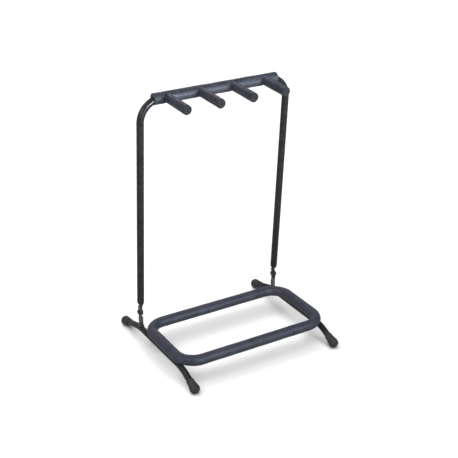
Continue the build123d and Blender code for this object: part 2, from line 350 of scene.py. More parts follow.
def foam_material():
    """Closed-cell foam sleeve: slate, mottled, faint marks round the sleeve, pits darkened with painted
    shade, and cut ends lighter than the skin with painted light added.
    """
    dark, light, grey = rgb(0.0045, 0.0058, 0.0105), rgb(0.033, 0.037, 0.053), rgb(0.018, 0.0215, 0.025)
    violet, pit_shade, inside = rgb(0.028, 0.021, 0.037), rgb(0.004, 0.004, 0.006), rgb(0.062, 0.063, 0.067)
    along_run, round_run = (340.0, 46.0, 46.0), (9.0, 620.0, 620.0)
    net = Net("slate_foam")
    place, run = net.place(), net.mark("run").outputs["Vector"]
    cut = net.mark("cut").outputs["Fac"]
    cloud = net.noise(place, 34.0, 3.0, 0.55)
    mottle = net.noise(place, 210.0, 3.0, 0.6)
    streak = net.noise(net.stretched(run, along_run), 1.0, 3.0, 0.6)
    lines = net.noise(net.stretched(run, round_run), 1.0, 2.0, 0.5)
    pits = net.cells(place, 980.0)
    tone = net.math("MULTIPLY_ADD", cloud, 0.40, net.math("MULTIPLY", mottle, 0.62))
    tone = net.math("MULTIPLY_ADD", streak, 0.25, tone)
    tone = net.math("MULTIPLY_ADD", lines, 0.12, tone)
    colour = net.mix(net.span(tone, 0.55, 0.84, 0.0, 1.0), dark, light)
    colour = net.mix(net.span(net.noise(place, 17.0, 2.0, 0.5), 0.35, 0.7, 0.0, 0.5), colour, grey)
    colour = net.mix(net.span(net.noise(place, 12.0, 3.0, 0.6), 0.48, 0.66, 0.0, 0.75), colour, violet)
    # The tiny pits get a near-black colour: painted shade inside them.
    hole = net.span(pits, 0.0, 0.32, 1.0, 0.0)
    colour = net.mix(net.math("MULTIPLY", hole, 0.35), colour, pit_shade)
    # Cut faces are lighter than the skin, as cut foam is, and their colour is raised further as painted
    # light on the peg tips.
    colour = net.mix(net.math("MULTIPLY", cut, 0.62), colour, inside)
    rough = net.span(mottle, 0.35, 0.65, 0.42, 0.70)
    rough = net.math("MULTIPLY_ADD", cut, 0.2, rough)
    fine = net.math("MULTIPLY_ADD", pits, 0.7, net.math("MULTIPLY", streak, 0.8))
    fine = net.math("MULTIPLY_ADD", lines, 0.35, fine)
    normal = net.bump(net.noise(place, 270.0, 2.5, 0.6), 0.7, 0.0008)
    normal = net.bump(fine, 0.30, 0.00007, normal)
    porous = net.math("MULTIPLY", net.cells(place, 1500.0), cut)
    normal = net.bump(porous, 0.9, 0.0004, normal)
    net.feed(net.shader, {
        "Base Color": colour, "Roughness": rough, "Normal": normal,
        "Specular IOR Level": 0.62, "Sheen Weight": 0.04, "Sheen Roughness": 0.45,
        "Sheen Tint": rgb(0.62, 0.66, 0.80), "Specular Tint": rgb(0.84, 0.91, 1.0),
    })
    return net.material


def coat_material(name, dark, light, rough_low, rough_high):
    """Satin powder coat over steel, with orange peel and fine dust."""
    net = Net(name)
    place = net.place()
    peel = net.noise(place, 780.0, 1.5, 0.4)
    broad = net.noise(place, 70.0, 2.0, 0.5)
    speck = net.noise(place, 1900.0, 1.0, 0.5)
    tone = net.math("MULTIPLY_ADD", broad, 0.7, net.math("MULTIPLY", speck, 0.3))
    colour = net.mix(net.span(tone, 0.35, 0.65, 0.0, 1.0), dark, light)
    patches = net.math("MULTIPLY_ADD", broad, 0.6, net.math("MULTIPLY", peel, 0.4))
    rough = net.span(patches, 0.35, 0.65, rough_low, rough_high)
    normal = net.bump(peel, 0.12, 0.00008)
    normal = net.bump(speck, 0.10, 0.00004, normal)
    net.feed(net.shader, {
        "Base Color": colour, "Roughness": rough, "Normal": normal,
        "Specular IOR Level": 0.34, "Coat Weight": 0.04, "Coat Roughness": 0.16,
    })
    return net.material


def rubber_material():
    """Moulded black rubber, matt, with a little bloom."""
    black, bloomed = rgb(0.011, 0.011, 0.0118), rgb(0.032, 0.032, 0.033)
    net = Net("black_rubber")
    place = net.place()
    bloom = net.noise(place, 120.0, 4.0, 0.6)
    grain = net.noise(place, 1300.0, 2.0, 0.6)
    colour = net.mix(net.span(bloom, 0.35, 0.7, 0.0, 1.0), black, bloomed)
    rough = net.span(bloom, 0.3, 0.7, 0.52, 0.70)
    normal = net.bump(grain, 0.35, 0.00010)
    normal = net.bump(bloom, 0.14, 0.00022, normal)
    net.feed(net.shader, {
        "Base Color": colour, "Roughness": rough, "Normal": normal, "Specular IOR Level": 0.4,
    })
    return net.material


def hinge_distance(net):
    """Distance from the hinge axis, in metres, of a point on the hinge hardware."""
    parts = net.add("ShaderNodeSeparateXYZ", {"Vector": net.place()}).outputs
    y = net.math("SUBTRACT", parts["Y"], HINGE_Y * MM)
    z = net.math("SUBTRACT", parts["Z"], HINGE_Z * MM)
    return net.math("SQRT", net.math("MULTIPLY_ADD", y, y, net.math("MULTIPLY", z, z)))


def hardware_material():
    """Black zinc fasteners with fine turned rings, light near the bolt's axis: bare steel at the cut
    thread end, and a painted highlight in the middle of the head.
    """
    net = Net("black_zinc")
    place = net.place()
    far = hinge_distance(net)
    turned = {"Scale": 9000.0, "Detail": 1.0, "W": far}
    rings = net.add("ShaderNodeTexNoise", turned, noise_dimensions="1D").outputs["Fac"]
    patchy = net.noise(place, 900.0, 3.0, 0.6)
    edge = net.math("MULTIPLY_ADD", patchy, 0.0016, far)
    # Light colour near the axis: bare steel at the thread's cut end, and a painted highlight round the
    # head's socket.
    bare_end_and_painted_crown = net.span(edge, 0.0030, 0.0040, 1.0, 0.0)
    colour = net.mix(patchy, rgb(0.035, 0.035, 0.038), rgb(0.085, 0.085, 0.092))
    colour = net.mix(net.math("MULTIPLY", bare_end_and_painted_crown, 0.85), colour, rgb(0.46, 0.46, 0.47))
    rough = net.span(patchy, 0.3, 0.7, 0.28, 0.46)
    normal = net.bump(rings, 0.2, 0.00005)
    net.feed(net.shader, {
        "Base Color": colour, "Roughness": rough, "Normal": normal, "Metallic": 0.85,
    })
    return net.material


def plastic_material():
    """Dull black nylon."""
    net = Net("black_nylon")
    place = net.place()
    tint = net.noise(place, 400.0, 3.0, 0.5)
    colour = net.mix(tint, rgb(0.016, 0.016, 0.017), rgb(0.034, 0.034, 0.035))
    net.feed(net.shader, {
        "Base Color": colour, "Roughness": net.span(tint, 0.3, 0.7, 0.42, 0.6),
        "Normal": net.bump(net.noise(place, 1500.0), 0.2, 0.00006), "Specular IOR Level": 0.45,
    })
    return net.material


FOAM = foam_material()
BLACK = (rgb(0.0078, 0.0074, 0.0088), rgb(0.0150, 0.0143, 0.0170))
# The posts carry the frame's black coat made lighter: painted light on the posts.
BLACK_PAINTED_LIGHTER = (rgb(0.038, 0.036, 0.040), rgb(0.075, 0.072, 0.080))
COAT = coat_material("black_powder_coat", *BLACK, 0.25, 0.34)
POST_COAT_PAINTED_LIGHT = coat_material("black_powder_coat_painted_light", *BLACK_PAINTED_LIGHTER, 0.32, 0.46)
RUBBER = rubber_material()
HARDWARE = hardware_material()
PLASTIC = plastic_material()


# ------------------------------------------------------------------ foam pieces


def foot_route(side):
    """Centre line of a foot tube, from the rear cap to the front one."""
    x = side * FOOT_X
    rear_end, rear_bend = (x, REAR_CAP_Y, CAP_Z), (x, REAR_BEND_Y, FOOT_Z)
    front_bend, front_end = (x, FRONT_BEND_Y, FOOT_Z), (x, FRONT_CAP_Y, CAP_Z)
    return route_pieces([rear_end, rear_bend, front_bend, front_end], [REAR_BEND_R, FRONT_BEND_R])


def press_on_feet(verts):
    """Foam that would lie inside a foot tube goes up round it, and the foam beside it swells."""
    clear, soft, reach = TUBE_R + SOFT_GAP, 0.9, 24.0
    verts = verts.copy()
    for side in SIDES.values():
        route = foot_route(side)
        line, _ = along(route, np.arange(0.0, route_length(route), 1.0))
        near = (np.abs(verts[:, 0] - side * FOOT_X) < reach) & (verts[:, 2] < LOOP_Z)
        index = np.flatnonzero(near)
        gaps = np.linalg.norm(verts[index][:, None, :] - line[None, :, :], axis=2)
        centre = line[gaps.argmin(axis=1)]
        away = verts[index] - centre
        far = np.linalg.norm(away, axis=1)
        lifted = clear + soft * np.log1p(np.exp(np.clip((far - clear) / soft, -40, 40)))
        verts[index] = centre + away * (lifted / far)[:, None]
    return verts


def corner_share(tangents):
    """0 on the straight runs of a closed flat route to 1 in its corners, with soft steps."""
    reach = 9
    window = np.hanning(2 * reach + 1)
    turn = np.diff(np.unwrap(np.arctan2(tangents[:, 1], tangents[:, 0])))
    turn = np.concatenate([[0.0], turn])
    turn = np.concatenate([turn[-reach:], turn, turn[:reach]])
    soft = np.abs(np.convolve(turn, window / window.sum(), "valid"))
    return soft / soft.max()


def loop_foam():
    """One foam cover round the whole base loop, with its slit along the underside."""
    route = route_pieces(
        [(0, LOOP_REAR_Y, LOOP_Z), (-LOOP_X, LOOP_REAR_Y, LOOP_Z), (-LOOP_X, LOOP_FRONT_Y, LOOP_Z),
         (LOOP_X, LOOP_FRONT_Y, LOOP_Z), (LOOP_X, LOOP_REAR_Y, LOOP_Z), (0, LOOP_REAR_Y, LOOP_Z)],
        [LOOP_CORNER_R] * 4,
    )
    ring_count, bore_every, underside, ruck_pitch = 900, 3, math.pi, 6.1
    stations = np.arange(ring_count) * route_length(route) / ring_count
    centres, tangents = along(route, stations)
    up = (0.0, 0.0, 1.0)
    angles = slit_angles(92, underside)
    plain = ring_grid(centres, tangents, up, LOOP_FOAM_R, angles)
    inner = np.clip(-np.sin(angles), 0, 1) ** 1.5
    rucks = np.sin(2 * math.pi * stations / ruck_pitch + 1.4 * np.sin(stations / 23.0))
    radius = LOOP_FOAM_R + lumps(plain, (0.20, 70.0, 3), (0.09, 16.0, 4))
    radius = radius - 0.17 * (corner_share(tangents) * (1 + rucks))[:, None] * inner[None, :]
    radius = radius - slit_depth(angles, underside)[None, :]
    outer = ring_grid(centres, tangents, up, radius, angles)
    outer = press_on_feet(outer.reshape(-1, 3)).reshape(outer.shape)
    coarse, bore_angles = stations[::bore_every], circle_angles(32)
    points, heading = along(route, coarse)
    bore = ring_grid(points, heading, up, TUBE_R + SOFT_GAP, bore_angles)
    mesh = join_shells(shell(outer, wrap=True), shell(bore, wrap=True, hollow=True))
    marks = run_marks([(stations, angles, LOOP_FOAM_R), (coarse, bore_angles, TUBE_R)])
    marks["cut"] = np.zeros(len(mesh[0]))
    piece = make_piece("loop_foam_cover", "base", FOAM, mesh, ["base_loop_foam"], marks)


def slit_angles(count, at):
    """Angles round a sleeve, with extra ones close to the slit."""
    offsets = np.array([-0.055, -0.030, -0.012, 0.0, 0.012, 0.030, 0.055])
    clear = 0.07
    plain = at + np.arange(1, count) * 2 * math.pi / count
    plain = plain[(plain > at + clear) & (plain < at + 2 * math.pi - clear)]
    return np.sort(np.concatenate([at + offsets, plain]))


def slit_depth(angles, at):
    """Depth of the narrow groove where the two edges of the split sleeve meet."""
    off = np.abs((angles - at + math.pi) % (2 * math.pi) - math.pi)
    return SLIT_DEPTH * np.clip(1 - off / SLIT_HALF, 0, 1) ** 1.5


def run_marks(grids):
    """Coordinates of the straightened sleeve for each ring grid: distance, and place in the ring."""
    marks = []
    for stations, angles, radius in grids:
        s = np.repeat(stations, len(angles))
        c = np.tile(np.cos(angles), len(stations)) * radius
        d = np.tile(np.sin(angles), len(stations)) * radius
        marks.append(np.stack([s, c, d], -1) * MM)
    return {"run": np.vstack(marks)}


def peg_axis(index):
    """Start point and direction of a peg, before the neck frame leans."""
    tilt = math.radians(PEG_TILT)
    start = np.array([(index - (PEG_COUNT - 1) / 2) * PEG_PITCH, 0.0, BAR_H])
    return start, np.array([0.0, -math.cos(tilt), math.sin(tilt)])


def bar_bore(x, angles, radius):
    """Outline where the plane at x cuts the frame tube, which bends near the sleeve's ends."""
    grow = BEND_R + radius * np.sin(angles)
    over = max(0.0, abs(x) - (JOINT_X - BEND_R))
    z = np.sqrt(np.clip(grow**2 - over**2, 0, None)) - BEND_R
    y = radius * np.cos(angles)
    return np.stack([np.full(len(angles), x), y, BAR_H + z], -1)


def peg_dents(rings):
    """Depth by which each peg's sleeve presses the bar's foam in, round the peg's base."""
    depth, ring_r, width = 0.75, 10.5, 3.6
    dents = np.zeros(rings.shape[:2])
    for index in range(PEG_COUNT):
        start, aim = peg_axis(index)
        away = rings - start
        forward = away @ aim
        gap = np.linalg.norm(away - forward[..., None] * aim, axis=-1)
        dents += np.where(forward > 0, depth * np.exp(-((gap - ring_r) / width) ** 2), 0)
    return dents


def bar_end(rim, x, sign, angles):
    """Rings across a cut end of the bar's sleeve, from its rim in to the tube."""
    hole = bar_bore(x, angles, FRAME_TUBE_R + SOFT_GAP)
    rows = []
    for t in (0.1, 0.3, 0.5, 0.7, 0.88, 1.0):
        row = rim * (1 - t) + hole * t
        row[:, 0] += sign * (0.25 * wobble(row, 5.0, 13) * math.sin(math.pi * t) - 0.1)
        rows.append(row)
    return np.array(rows)


def bar_foam():
    """Foam sleeve on the neck bar, with cut ends that the tube leaves in its bend."""
    half, count, end_cut = BAR_FOAM_L / 2, 104, 0.35
    angles = circle_angles(count)
    steps = np.linspace(-half, half, 268)
    edge = np.array([0.0, 0.12, 0.35, 0.7, BAR_RIM_ROUND])
    xs = np.concatenate([-half + edge, steps[2:-2], half - edge[::-1]])
    fall = np.minimum(half - np.abs(xs), BAR_RIM_ROUND) / BAR_RIM_ROUND
    radius = BAR_FOAM_R - BAR_RIM_ROUND * (1 - np.sqrt(1 - (1 - fall) ** 2))
    rings = np.stack([
        np.repeat(xs, count).reshape(-1, count),
        radius[:, None] * np.cos(angles)[None, :],
        BAR_H + radius[:, None] * np.sin(angles)[None, :],
    ], -1)
    uneven = lumps(rings, (0.18, 60.0, 11), (0.08, 15.0, 12)) - peg_dents(rings)
    swell = uneven / radius[:, None]
    rings[..., 1:] += (rings[..., 1:] - np.array([0.0, BAR_H])) * swell[..., None]
    left = bar_end(rings[0], -half, -1, angles)
    right = bar_end(rings[-1], half, 1, angles)
    inside = np.linspace(half, -half, 60)[1:-1]
    bore = np.array([bar_bore(x, angles, FRAME_TUBE_R + SOFT_GAP) for x in inside])
    grid = np.concatenate([rings, right, bore, left[::-1]])
    cut = np.zeros(grid.shape[:2])
    left_face = slice(-len(left) - 1, None)
    right_face = slice(len(rings) - 2, len(rings) + len(right) + 1)
    for rows in (slice(0, 2), right_face, left_face):
        cut[rows] = end_cut
    marks = {"run": (grid - np.array([0, 0, BAR_H])).reshape(-1, 3) * MM, "cut": cut.ravel()}
    piece = make_piece("neck_bar_foam_sleeve", "neck_frame", FOAM, shell(grid, wrap=True),
                       ["neck_bar_foam"], marks, neck=True)


def peg_profile():
    """(radius, distance along the peg) of the rings of a peg's tip, from its middle outwards."""
    vent = [(0.35, -1.5), (0.8, -1.35), (1.1, -0.8), (1.35, -0.2), (1.8, 0.0)]
    dimple = [(r, PEG_REACH + depth) for r, depth in vent]
    face = [(r, PEG_REACH + 0.05 * math.sin(r)) for r in np.arange(2.6, 9.9, 0.8)]
    inner, top = PEG_FOAM_R - PEG_TIP_ROUND, PEG_REACH - PEG_TIP_ROUND
    edge = []
    for turn in np.linspace(0.12, 1.0, 8) * math.pi / 2:
        edge.append((inner + PEG_TIP_ROUND * math.sin(turn), top + PEG_TIP_ROUND * math.cos(turn)))
    return dimple + face + edge


def peg_rows(angles):
    """(radii, distances along the peg) of a peg sleeve's rings, from the tip back to the bore's end."""

    def ring(r, s):
        return np.full(len(angles), r), np.broadcast_to(s, angles.shape)

    def seat(r, extra):
        """Distances where a ring of this radius meets the bar's foam."""
        return np.sqrt(PEG_SEAT_R**2 - (r * np.sin(angles)) ** 2) + extra

    rows = [ring(r, s) for r, s in peg_profile()]
    top, low = PEG_REACH - PEG_TIP_ROUND, seat(PEG_FOAM_R, 0.8)
    rows += [ring(PEG_FOAM_R, top + (low - top) * t) for t in np.linspace(0, 1, PEG_SIDE_ROWS + 1)[1:]]
    for r, extra in ((PEG_FOAM_R - 0.15, 0.35), (PEG_FOAM_R - 0.5, 0.05), (PEG_FOAM_R - 2.5, 0.0)):
        rows.append(ring(r, seat(r, extra)))
    rows.append(ring(THIN_R + 0.4, seat(THIN_R + 0.4, 0.0)))
    rows += [ring(THIN_R + SOFT_GAP, s) for s in np.linspace(PEG_BORE_START, PEG_BORE_END, 14)]
    rows.append(ring(THIN_R / 2, PEG_BORE_END))
    return rows


def peg_foam(index):
    """Foam sleeve on one peg: closed tip with a small vent, and a base that fits the bar's sleeve."""
    start, aim = peg_axis(index)
    angles = circle_angles(72)
    rng = np.random.default_rng(40 + index)
    bearing = 4.2 + 1.3 * index
    vent = rng.uniform(0.6, 2.2) * np.array([math.cos(bearing), math.sin(bearing)])
    across, rise = np.array([1.0, 0, 0]), np.cross(aim, [1.0, 0, 0])
    rise = rise if rise[2] > 0 else -rise
    rows, tip_rows = peg_rows(angles), len(peg_profile())
    grid = np.zeros((len(rows), len(angles), 3))
    run = np.zeros_like(grid)
    for row, (r, s) in enumerate(rows):
        shift = vent * np.clip(1 - r[0] / 9.5, 0, 1) if row < tip_rows else np.zeros(2)
        c, d = r * np.cos(angles) + shift[0], r * np.sin(angles) + shift[1]
        grid[row] = start + aim * s[:, None] + across * c[:, None] + rise * d[:, None]
        run[row] = np.stack([s, c, d], -1)
    outer = slice(tip_rows - 4, tip_rows + PEG_SIDE_ROWS)
    uneven = lumps(grid[outer], (0.13, 42.0, 50 + index), (0.07, 11.0, 60 + index))
    axis_points = start + aim * ((grid[outer] - start) @ aim)[..., None]
    grid[outer] += (grid[outer] - axis_points) * (uneven / PEG_FOAM_R)[..., None]
    face = slice(0, tip_rows - 4)
    grid[face] += aim * (0.10 * wobble(grid[face], 4.0, 70 + index))[..., None]
    cut = np.zeros(grid.shape[:2])
    cut[:tip_rows - 8] = 1.0
    poles = [run[0].mean(axis=0)[None], run[-1].mean(axis=0)[None]]
    marks = {
        "run": np.vstack([run.reshape(-1, 3), *poles]) * MM,
        "cut": np.concatenate([cut.ravel(), [1.0, 0.0]]),
    }
    piece = make_piece(f"peg_foam_sleeve_{index + 1}", "neck_frame", FOAM, shell(grid),
                       [f"peg_foam_{index + 1}"], marks, neck=True)


# ------------------------------------------------------------------ steel


def neck_tube():
    """The inverted U of tube, its lower ends swaged narrow round the lugs."""
    lower_left, upper_left = (-JOINT_X, 0, SWAGE_END_H), (-JOINT_X, 0, BAR_H)
    upper_right, lower_right = (JOINT_X, 0, BAR_H), (JOINT_X, 0, SWAGE_END_H)
    route = route_pieces([lower_left, upper_left, upper_right, lower_right], [BEND_R, BEND_R])
    length, fine_end = route_length(route), 16.0
    near = np.concatenate([np.linspace(0, SWAGE_ROLL, 7), np.linspace(1.8, fine_end, 26)])
    middle = stations_of(route, 16.0, 1.3)
    middle = middle[(middle > fine_end + 1) & (middle < length - fine_end - 1)]
    stations = np.concatenate([near, middle, length - near[::-1]])
    centres, tangents = along(route, stations)
    angles = circle_angles(72)
    from_end = np.minimum(stations, length - stations)
    taper = np.clip(from_end / (SWAGE_TOP_H - SWAGE_END_H), 0, 1)
    grown = (1 - (1 - taper) ** 1.9)[:, None]
    half_y = SWAGE_HALF_Y + (FRAME_TUBE_R - SWAGE_HALF_Y) * grown
    half_x = SWAGE_HALF_X + (FRAME_TUBE_R - SWAGE_HALF_X) * grown
    power = 3.2 - 1.2 * grown
    c, s = np.abs(np.cos(angles))[None, :], np.abs(np.sin(angles))[None, :]
    radius = ((c / half_y) ** power + (s / half_x) ** power) ** (-1 / power)
    mouth = np.clip(from_end / SWAGE_ROLL, 0, 1)[:, None]
    radius = radius - SWAGE_ROLL * (1 - np.sqrt(1 - (1 - mouth) ** 2))
    grid = ring_grid(centres, tangents, (0.0, 1.0, 0.0), radius, angles)
    grid[..., 0] += SWAGE_SHIFT * (1 - grown) * -np.sign(centres[:, :1])
    make_piece("neck_frame_steel", "neck_frame", COAT, shell(grid),
               ["neck_frame_tube"], neck=True)


def foot_tubes():
    """The two bent tubes that the rack stands on."""
    for name, side in SIDES.items():
        route = foot_route(side)
        centres, tangents = along(route, stations_of(route, 12.0, 1.5))
        grid = ring_grid(centres, tangents, (1.0, 0.0, 0.0), TUBE_R, circle_angles(72))
        make_piece(f"foot_tube_steel_{name}", "base", COAT, shell(grid),
                   [f"foot_tube_{name}"])


def lug_outline():
    """Outline (y, h) of a hinge lug round the hinge axis: an eye with a neck that flares into it."""
    half = LUG_NECK_W / 2
    away = LUG_R + LUG_FILLET
    centre = (half + LUG_FILLET, math.sqrt(away**2 - (half + LUG_FILLET) ** 2))
    meet = math.atan2(centre[1], centre[0])
    right = [(half, h) for h in np.linspace(LUG_SHANK_H, centre[1] + 0.5, 12)]
    for a in np.linspace(math.pi, math.pi + meet, 8):
        right.append((centre[0] + LUG_FILLET * math.cos(a), centre[1] + LUG_FILLET * math.sin(a)))
    eye = np.linspace(meet, math.pi - meet - 2 * math.pi, 60)[1:-1]
    points = right + [(LUG_R * math.cos(a), LUG_R * math.sin(a)) for a in eye]
    return np.array(points + [(-y, h) for y, h in right[::-1]])


def plate(outline, x_near, x_far, hole, bevel):
    """A flat plate with rounded edges and a round hole, from its outline (y, h) round the hole."""
    normal = np.roll(outline, -1, axis=0) - np.roll(outline, 1, axis=0)
    normal = np.stack([normal[:, 1], -normal[:, 0]], -1)
    normal /= np.linalg.norm(normal, axis=1)[:, None]
    if np.einsum("ij,ij->", normal, outline) < 0:
        normal = -normal
    inner = hole * outline / np.linalg.norm(outline, axis=1)[:, None]
    rows, sink = [], 0.01
    turns = np.linspace(0, math.pi / 2, 6)
    low, high = min(x_near, x_far), max(x_near, x_far)
    for a in turns:
        rows.append((outline - normal * bevel * (1 - math.sin(a)), low + bevel * (1 - math.cos(a))))
    for a in turns[::-1]:
        rows.append((outline - normal * bevel * (1 - math.sin(a)), high - bevel * (1 - math.cos(a))))
    rows += [(inner, high - sink), (inner, low + sink)]
    grid = np.array([np.column_stack([np.full(len(flat), x), flat]) for flat, x in rows])
    return shell(grid, wrap=True)


def lugs():
    """The flat eyes in the swaged ends, just inboard of the posts' tabs."""
    for name, side in SIDES.items():
        outer = side * (JOINT_X - SPACER_T / 2)
        mesh = plate(lug_outline(), outer, outer - side * LUG_T, LUG_HOLE_R, LUG_BEVEL)
        make_piece(f"hinge_lug_steel_{name}", "neck_frame", COAT, mesh,
                   [f"hinge_lug_{name}"], sharp=50, neck=True)


def post_sections():
    """Rings of a hinge post, bottom up: height, front, rear, thickness, outboard shift, flatness."""
    rows = []
    for h in np.concatenate([[POST_FOOT_H], np.linspace(POST_FOOT_H + 3, PRESS_START_H, 12)]):
        rows.append((h, -THIN_R, THIN_R, 2 * THIN_R, 0.0, 0.0))
    for h in np.linspace(PRESS_START_H, PRESS_END_H, 15)[1:]:
        t = (h - PRESS_START_H) / (PRESS_END_H - PRESS_START_H)
        pressed = t * t * (3 - 2 * t)
        reach = THIN_R + (TAB_R - THIN_R) * pressed
        thick = 2 * THIN_R + (TAB_T - 2 * THIN_R) * pressed
        rows.append((h, -reach, reach, thick, TAB_SHIFT * pressed, pressed))
    for h in np.concatenate([np.linspace(-9, 8.2, 24), np.linspace(8.4, EAR_TOP, 24)]):
        over = max(0.0, h - EAR_TOP + EAR_CORNER_R)
        front = -TAB_R + EAR_CORNER_R - math.sqrt(EAR_CORNER_R**2 - over**2)
        corner = max(0.0, h - EAR_TOP + EAR_REAR_ROUND)
        rear = TAB_R + min(max((h + 1.5) / 3, 0), 1)
        rear -= EAR_REAR_ROUND - math.sqrt(max(EAR_REAR_ROUND**2 - corner**2, 0))
        rows.append((h, front, rear, TAB_T, TAB_SHIFT, 1.0))
    return rows


def hinge_posts():
    """Round posts pressed flat at the top, each with its stop and the weld round its foot."""
    angles = circle_angles(64)
    c, s = np.cos(angles), np.sin(angles)
    for name, side in SIDES.items():
        grid = []
        for h, front, rear, thick, shift, flat in post_sections():
            half = (rear - front) / 2
            stadium = thick / 2 * s + (half - thick / 2) * np.clip(s / 0.25, -1, 1)
            y = (front + rear) / 2 + s * half * (1 - flat) + stadium * flat
            x = side * (JOINT_X + shift + thick / 2 * c)
            grid.append(np.column_stack([x, HINGE_Y + y, np.full(len(angles), HINGE_Z + h)]))
        mesh = join_shells(shell(np.array(grid)), stop_lip(side), post_weld(side))
        make_piece(f"hinge_post_steel_{name}", "base", POST_COAT_PAINTED_LIGHT, mesh,
                   [f"hinge_post_{name}"], sharp=60)


def stop_lip(side):
    """The ear's top, bent over the lug's edge: it stops the frame from going back."""
    inboard = ((-3.0, 0.75), (-2.9, 0.35), (-2.6, 0.1), (-2.2, 0.0), (-1.0, 0.0))
    outboard = ((0.3, 0.0), (1.6, 0.0), (2.4, 0.3))
    angles, power = circle_angles(40), 5
    c, s = np.cos(angles), np.sin(angles)
    half_y, half_h = (STOP_Y[1] - STOP_Y[0]) / 2, (STOP_H[1] - STOP_H[0]) / 2
    radius = ((np.abs(c) / half_y) ** power + (np.abs(s) / half_h) ** power) ** (-1 / power)
    rows = []
    for x, shrink in inboard + outboard:
        y = HINGE_Y + sum(STOP_Y) / 2 + (radius - shrink) * c
        z = HINGE_Z + sum(STOP_H) / 2 + (radius - shrink) * s
        rows.append(np.column_stack([np.full(len(angles), side * (JOINT_X + x)), y, z]))
    return shell(np.array(rows))


def post_weld(side):
    """Rippled bead where the post stands on the foot tube."""
    around, reach, up = circle_angles(14), THIN_R + 0.9, np.array([0, 0, 1.0])
    rows = []
    for phi in circle_angles(150):
        ripple = 1 + 0.05 * math.sin(26 * phi) + 0.06 * math.sin(5 * phi + 1)
        x, y = reach * math.cos(phi), reach * math.sin(phi)
        base = math.sqrt((TUBE_R + 0.3) ** 2 - x**2)
        out = np.array([math.cos(phi), math.sin(phi), 0.0])
        middle = np.array([side * JOINT_X + x, HINGE_Y + y, FOOT_Z + base])
        circle = np.cos(around)[:, None] * out + np.sin(around)[:, None] * up
        rows.append(middle + WELD_BEAD_R * ripple * circle)
    return shell(np.array(rows), wrap=True)


# ------------------------------------------------------------------ caps and fasteners


def cap_neck():
    """A foot cap from its dome to its lip: a curve with a raised band and a groove near the lip."""
    pull = 7.5
    start = CAP_R * np.array([math.cos(CAP_FLARE), math.sin(CAP_FLARE)])
    end = np.array([CAP_LIP_R, CAP_L])
    leaving = start + pull * np.array([-math.sin(CAP_FLARE), math.cos(CAP_FLARE)])
    arriving = end - pull * unit([-0.06, 1])
    neck = []
    for t in np.linspace(0, 1, 30)[1:-1]:
        p = (1 - t) ** 3 * start + 3 * (1 - t) ** 2 * t * leaving
        p = p + 3 * (1 - t) * t**2 * arriving + t**3 * end
        band = 0.55 * math.exp(-((p[1] - 23.9) ** 2))
        groove = 0.25 * math.exp(-(((p[1] - 21.6) / 0.7) ** 2))
        neck.append((p[0] + band - groove, p[1]))
    return neck


def cap_profile():
    """(radius, distance towards the tube) of a foot cap, from its blunt end to inside its bore."""
    rim = math.sqrt(CAP_R**2 - CAP_BLUNT**2)
    steps = [(1.5, 0.35), (3.0, 0.35), (3.5, 0.15), (4.0, 0.0), (6.0, 0.0), (7.6, 0.02)]
    steps += [(rim - 1.6, 0.15), (rim - 0.55, 0.55)]
    face = [(r, -CAP_BLUNT + rise) for r, rise in steps]
    begin = math.atan2(-CAP_BLUNT + 1.3, rim + 0.55)
    dome = [(CAP_R * math.cos(a), CAP_R * math.sin(a)) for a in np.linspace(begin, CAP_FLARE, 22)]
    lip = [(CAP_LIP_R - 0.05, CAP_L - 0.25), (CAP_LIP_R - 0.3, CAP_L), (TUBE_R + 0.15, CAP_L - 0.05)]
    bore = [(TUBE_R, CAP_L - 0.5), (TUBE_R, 8.0), (TUBE_R, 0.3), (4.0, 0.2)]
    return face + dome + cap_neck() + lip + bore


def foot_caps():
    """Rubber caps on the feet, flat where they stand, with a fine parting line along each side."""
    angles, across = circle_angles(96), np.array([1.0, 0.0, 0.0])
    off_line = 1 - np.exp(-((np.sin(angles) / 0.05) ** 2))
    for name, side in SIDES.items():
        route = foot_route(side)
        points, tangents = along(route, [0.0, route_length(route)])
        for end, centre, inward in (("rear", points[0], tangents[0]), ("front", points[1], -tangents[1])):
            rise = np.cross(inward, across)
            rise = rise if rise[2] > 0 else -rise
            ring = np.cos(angles)[:, None] * across + np.sin(angles)[:, None] * rise
            rows = []
            for r, a in cap_profile():
                outside = a > -7 and r > TUBE_R + 0.2
                reach = r - CAP_RIDGE * off_line if outside else np.full(len(angles), r)
                rows.append(centre + inward * a + ring * reach[:, None])
            grid = np.array(rows)
            grid[..., 2] = np.maximum(grid[..., 2], 0.0)
            make_piece(f"foot_cap_rubber_{end}_{name}", "base", RUBBER, shell(grid),
                       [f"foot_cap_{end}_{name}"])


def hexagon(flats, angles):
    """Distance from the middle to a hexagon's edge in each direction."""
    step = math.pi / 3
    return flats / 2 / np.cos((angles + step / 2) % step - step / 2)


def x_rings(side, rows, angles):
    """Rings round the hinge axis from (x from the middle plane, radius or radii)."""
    grid = []
    for x, r in rows:
        r = np.broadcast_to(r, angles.shape)
        y, z = HINGE_Y + r * np.cos(angles), HINGE_Z + r * np.sin(angles)
        grid.append(np.column_stack([np.full(len(angles), side * x), y, z]))
    return np.array(grid)


